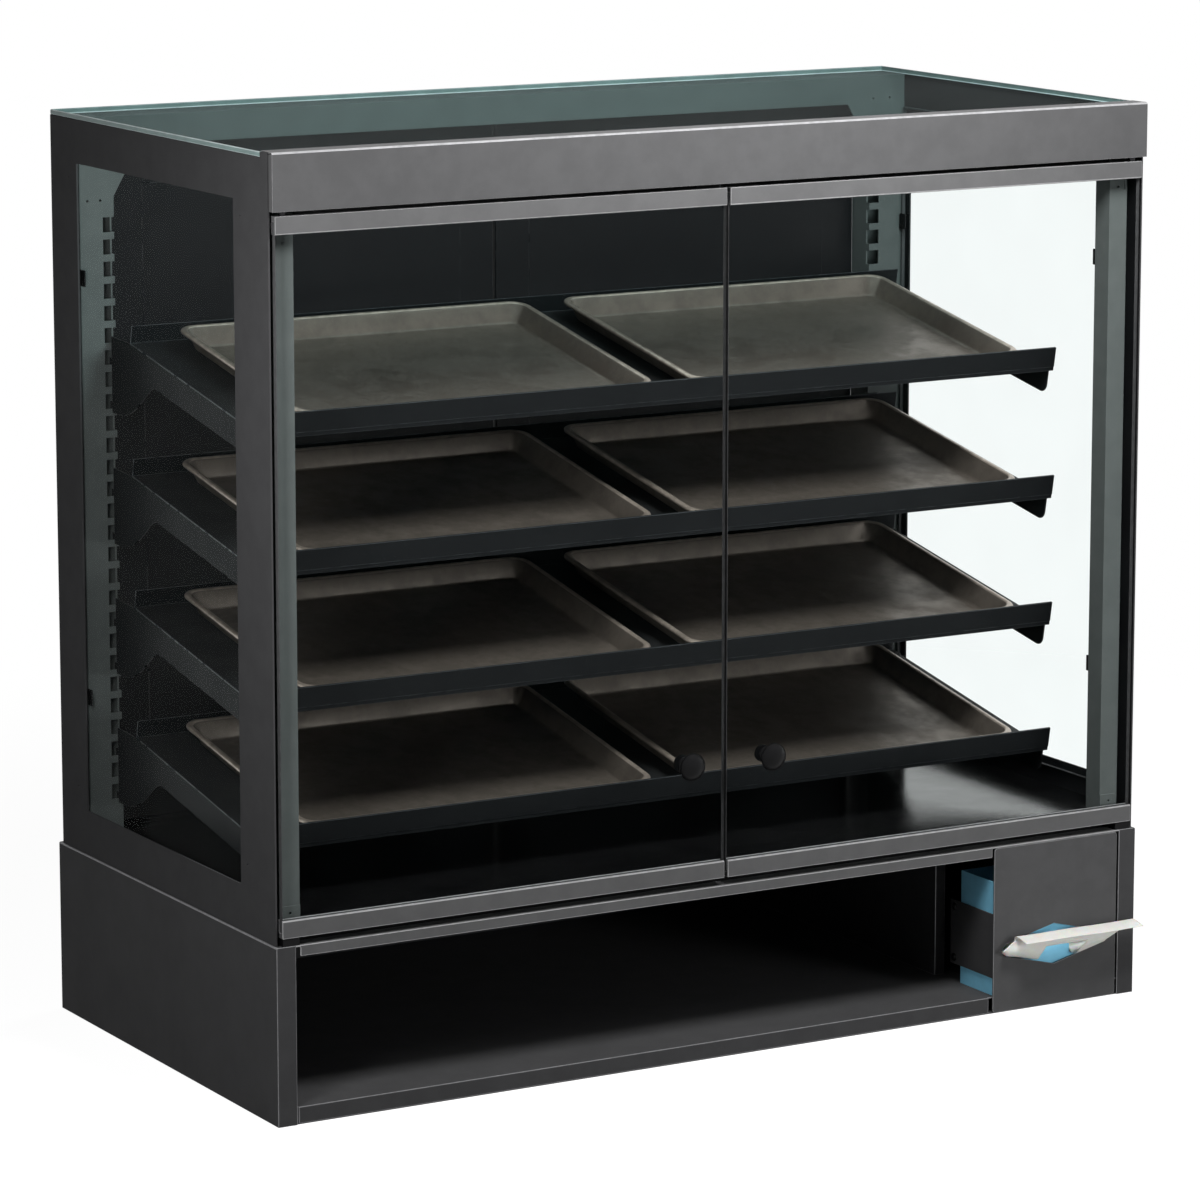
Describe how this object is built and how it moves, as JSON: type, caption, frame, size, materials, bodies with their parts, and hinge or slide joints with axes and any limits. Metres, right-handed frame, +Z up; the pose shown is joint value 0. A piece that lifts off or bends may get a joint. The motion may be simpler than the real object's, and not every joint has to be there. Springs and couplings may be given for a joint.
{
  "type": "countertop bakery display case",
  "caption": "Glazed countertop bakery case on an open storage base with a tissue dispenser, hinged front and rear doors and sloping shelves that carry sheet pans.",
  "frame": {"origin": "centre of the underside of the base, on the counter", "axes": "+X to the right as a customer sees the front, +Y from the front to the back, +Z up"},
  "size_m": [1.14, 0.6088, 1.067],
  "materials": {
    "charcoal_steel": "satin powder coat with a fine texture, charcoal",
    "dark_steel": "satin powder coat, near black",
    "grey_fascia": "satin powder coat, mid grey where the light falls",
    "grey_post": "satin powder coat, charcoal",
    "black_gloss": "gloss black coat",
    "black_door": "satin black coat",
    "black_shelf": "satin black powder coat",
    "clear_glass": "clear float glass with green edges",
    "black_plastic": "moulded black plastic",
    "dark_pin": "turned steel, chemically blackened",
    "bronze_pan": "hard-coated aluminium, bronze grey",
    "blue_card": "printed light blue card",
    "tissue": "thin waxed tissue, off-white"
  },
  "bodies": {
    "cabinet": {"base_pan": "dark_steel", "base_end_left": "charcoal_steel", "base_end_right": "charcoal_steel", "base_top": "charcoal_steel", "storage_floor": "charcoal_steel", "base_back": "dark_steel", "bay_divider": "charcoal_steel", "back_screws": "dark_steel", "dispenser_front": "charcoal_steel", "carton_strap": "dark_steel", "strap_screws": "black_plastic", "tissue_carton": "blue_card", "tissue_stack": "tissue", "deck": "black_gloss", "side_panel_left": "dark_steel", "side_panel_right": "dark_steel", "side_glass_left": "clear_glass", "side_glass_right": "clear_glass", "glass_clips": "black_plastic", "front_post_left": "grey_post", "front_post_right": "grey_post", "rear_post_left": "grey_post", "rear_post_right": "grey_post", "back_header": "grey_post", "front_header": "dark_steel", "fascia": "grey_fascia", "top_glass": "clear_glass", "pivot_blocks": "black_plastic", "door_catches": "black_plastic"},
    "front_door_left": {"door_glass_left": "clear_glass", "door_top_rail_left": "charcoal_steel", "door_bottom_rail_left": "charcoal_steel", "door_knob_left": "black_plastic", "door_pins_left": "dark_pin"},
    "front_door_right": {"door_glass_right": "clear_glass", "door_top_rail_right": "charcoal_steel", "door_bottom_rail_right": "charcoal_steel", "door_knob_right": "black_plastic", "door_pins_right": "dark_pin"},
    "back_door_left": {"rear_door_left": "black_door", "rear_liner_left": "black_door"},
    "back_door_right": {"rear_door_right": "black_door", "rear_liner_right": "black_door"},
    "display_shelf_1": {"shelf_1": "black_shelf", "shelf_arms_1": "black_shelf"},
    "display_shelf_2": {"shelf_2": "black_shelf", "shelf_arms_2": "black_shelf"},
    "display_shelf_3": {"shelf_3": "black_shelf", "shelf_arms_3": "black_shelf"},
    "display_shelf_4": {"shelf_4": "black_shelf", "shelf_arms_4": "black_shelf"},
    "pan_1_left": {"tray_1_left": "bronze_pan"},
    "pan_1_right": {"tray_1_right": "bronze_pan"},
    "pan_2_left": {"tray_2_left": "bronze_pan"},
    "pan_2_right": {"tray_2_right": "bronze_pan"},
    "pan_3_left": {"tray_3_left": "bronze_pan"},
    "pan_3_right": {"tray_3_right": "bronze_pan"},
    "pan_4_left": {"tray_4_left": "bronze_pan"},
    "pan_4_right": {"tray_4_right": "bronze_pan"},
    "tissue": {"tissue_sheet": "tissue"}
  },
  "joints": [
    {"name": "front_door_left_hinge", "type": "hinge", "parent": "cabinet", "child": "front_door_left", "pos_m": [-0.5515, -0.281, 0.6], "axis": [0, 0, -1], "range_deg": [0, 100]},
    {"name": "front_door_right_hinge", "type": "hinge", "parent": "cabinet", "child": "front_door_right", "pos_m": [0.5515, -0.281, 0.6], "axis": [0, 0, 1], "range_deg": [0, 100]},
    {"name": "back_door_left_hinge", "type": "hinge", "parent": "cabinet", "child": "back_door_left", "pos_m": [-0.505, 0.262, 0.6], "axis": [0, 0, 1], "range_deg": [0, 105]},
    {"name": "back_door_right_hinge", "type": "hinge", "parent": "cabinet", "child": "back_door_right", "pos_m": [0.505, 0.262, 0.6], "axis": [0, 0, -1], "range_deg": [0, 105]},
    {"name": "shelf_1_lift", "type": "slide", "parent": "cabinet", "child": "display_shelf_1", "axis": [0, 0, 1], "range_m": [0, 0.0085]},
    {"name": "shelf_2_lift", "type": "slide", "parent": "cabinet", "child": "display_shelf_2", "axis": [0, 0, 1], "range_m": [0, 0.0085]},
    {"name": "shelf_3_lift", "type": "slide", "parent": "cabinet", "child": "display_shelf_3", "axis": [0, 0, 1], "range_m": [0, 0.0085]},
    {"name": "shelf_4_lift", "type": "slide", "parent": "cabinet", "child": "display_shelf_4", "axis": [0, 0, 1], "range_m": [0, 0.0085]},
    {"name": "pan_1_left_lift", "type": "slide", "parent": "display_shelf_1", "child": "pan_1_left", "axis": [0, -0.1805, 0.9836], "range_m": [0, 0.04]},
    {"name": "pan_1_right_lift", "type": "slide", "parent": "display_shelf_1", "child": "pan_1_right", "axis": [0, -0.1805, 0.9836], "range_m": [0, 0.04]},
    {"name": "pan_2_left_lift", "type": "slide", "parent": "display_shelf_2", "child": "pan_2_left", "axis": [0, -0.1805, 0.9836], "range_m": [0, 0.04]},
    {"name": "pan_2_right_lift", "type": "slide", "parent": "display_shelf_2", "child": "pan_2_right", "axis": [0, -0.1805, 0.9836], "range_m": [0, 0.04]},
    {"name": "pan_3_left_lift", "type": "slide", "parent": "display_shelf_3", "child": "pan_3_left", "axis": [0, -0.1805, 0.9836], "range_m": [0, 0.04]},
    {"name": "pan_3_right_lift", "type": "slide", "parent": "display_shelf_3", "child": "pan_3_right", "axis": [0, -0.1805, 0.9836], "range_m": [0, 0.04]},
    {"name": "pan_4_left_lift", "type": "slide", "parent": "display_shelf_4", "child": "pan_4_left", "axis": [0, -0.1805, 0.9836], "range_m": [0, 0.04]},
    {"name": "pan_4_right_lift", "type": "slide", "parent": "display_shelf_4", "child": "pan_4_right", "axis": [0, -0.1805, 0.9836], "range_m": [0, 0.04]},
    {"name": "tissue_pull", "type": "slide", "parent": "cabinet", "child": "tissue", "axis": [0, -1, 0], "range_m": [0, 0.08]}
  ]
}
